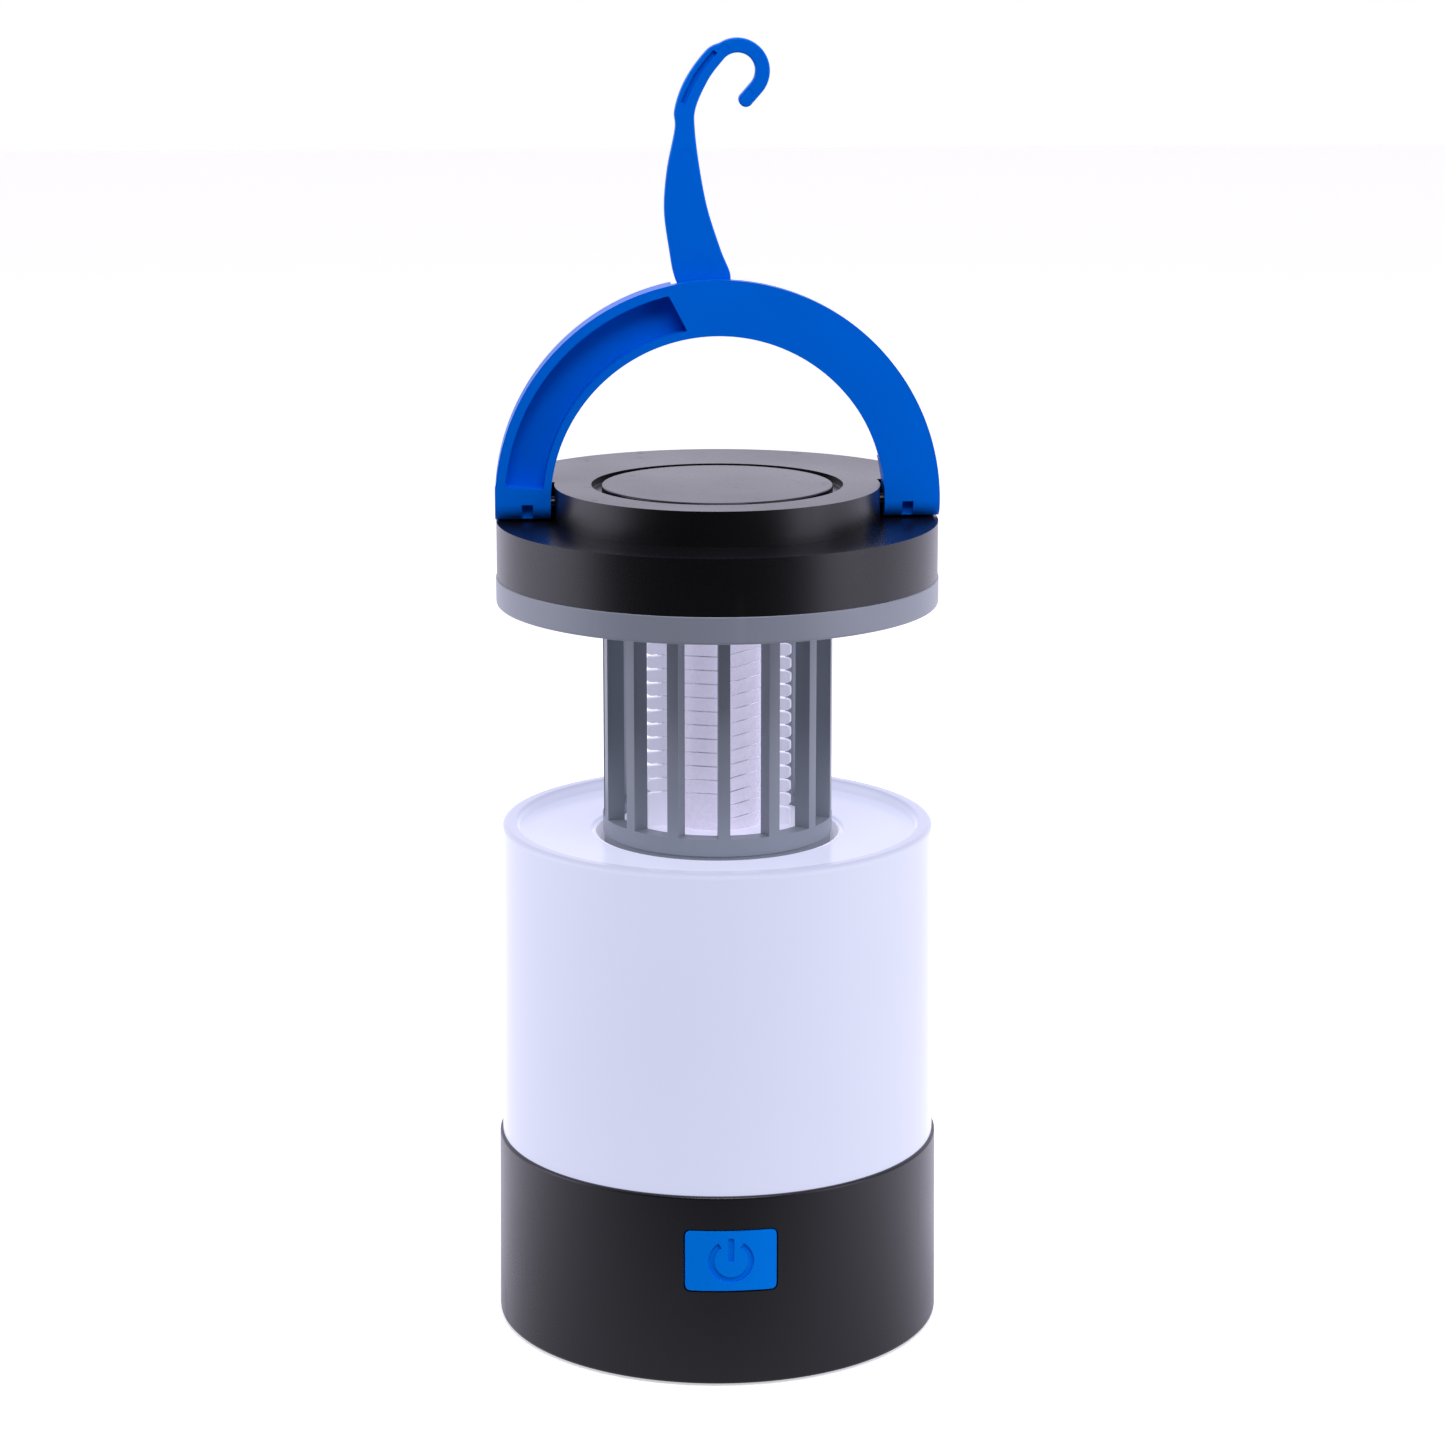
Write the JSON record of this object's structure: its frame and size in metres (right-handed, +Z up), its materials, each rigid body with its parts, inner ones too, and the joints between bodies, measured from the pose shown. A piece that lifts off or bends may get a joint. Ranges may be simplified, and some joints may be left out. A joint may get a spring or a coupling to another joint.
{
  "type": "bug zapper",
  "caption": "Collapsible camping lantern and bug zapper: a round base, an opal drum, a caged high-voltage grid under a sliding head, a folding arch handle and a swing-out hook.",
  "frame": {"origin": "on the floor under the middle of the round base", "axes": "+Z up through the drum and cage; -Y is the front with the power button; X runs along the handle's hinge"},
  "size_m": [0.0904, 0.0904, 0.2607],
  "materials": {
    "black_plastic": "fine satin moulded black plastic",
    "blue_plastic": "smooth semi-gloss royal blue plastic",
    "grey_plastic": "satin mid grey plastic",
    "white_plastic": "satin white plastic",
    "opal_plastic": "milky translucent diffuser plastic",
    "light_pipe": "frosted translucent light pipe",
    "bare_steel": "bright bare steel",
    "zinc": "zinc plated steel",
    "black_rubber": "soft matt rubber",
    "circuit_board": "green solder mask",
    "white_board": "white solder mask",
    "cell_wrap": "heat-shrink sleeve",
    "dark_core": "dark ferrite and tape",
    "lead_sleeve": "red silicone lead sleeve"
  },
  "bodies": {
    "base": {"base_shell": "black_plastic", "base_cover": "black_plastic", "battery_holder": "black_plastic", "battery_cell": "cell_wrap", "battery_contact_plus": "bare_steel", "battery_contact_minus": "bare_steel", "main_board": "circuit_board", "tactile_switch": "zinc", "charging_socket": "bare_steel", "booster_coil": "dark_core", "capacitor": "dark_core", "diffuser": "opal_plastic", "lantern_board": "white_board", "guide_sleeve": "white_plastic", "high_voltage_lead": "lead_sleeve", "base_screw_1": "zinc", "base_screw_2": "zinc", "base_screw_3": "zinc", "base_screw_4": "zinc", "foot_1": "black_rubber", "foot_2": "black_rubber", "foot_3": "black_rubber", "foot_4": "black_rubber"},
    "power_button": {"power_button": "blue_plastic"},
    "port_cover": {"port_cover": "black_rubber"},
    "head": {"cage": "grey_plastic", "cage_floor": "grey_plastic", "grid_former": "white_plastic", "electrode_wire_a": "bare_steel", "electrode_wire_b": "bare_steel", "uv_light_tube": "light_pipe", "uv_board": "white_board", "head_shell": "black_plastic", "head_disc": "black_plastic", "hinge_pin_left": "black_plastic", "hinge_pin_right": "black_plastic", "head_screw_1": "zinc", "head_screw_2": "zinc", "head_screw_3": "zinc", "head_screw_4": "zinc"},
    "handle": {"handle": "blue_plastic", "hook_pin": "bare_steel"},
    "hook": {"hang_hook": "blue_plastic"}
  },
  "joints": [
    {"name": "head_lift", "type": "slide", "parent": "base", "child": "head", "axis": [0, 0, 1], "range_m": [-0.045, 0], "deforming": ["high_voltage_lead"]},
    {"name": "handle_fold", "type": "hinge", "parent": "head", "child": "handle", "pos_m": [0, 0, 0.1698], "axis": [1, 0, 0], "range_deg": [0, 90]},
    {"name": "hook_swing", "type": "hinge", "parent": "handle", "child": "hook", "pos_m": [-0.003, 0, 0.2097], "axis": [0, 1, 0], "range_deg": [0, 112]},
    {"name": "button_press", "type": "slide", "parent": "base", "child": "power_button", "axis": [0, 1, 0], "range_m": [0, 0.0006], "stiffness_N_per_m": 400, "springref_m": -0.0005},
    {"name": "port_cover_open", "type": "hinge", "parent": "base", "child": "port_cover", "pos_m": [0, 0.0441, 0.0224], "axis": [-1, 0, 0], "range_deg": [0, 90]}
  ]
}
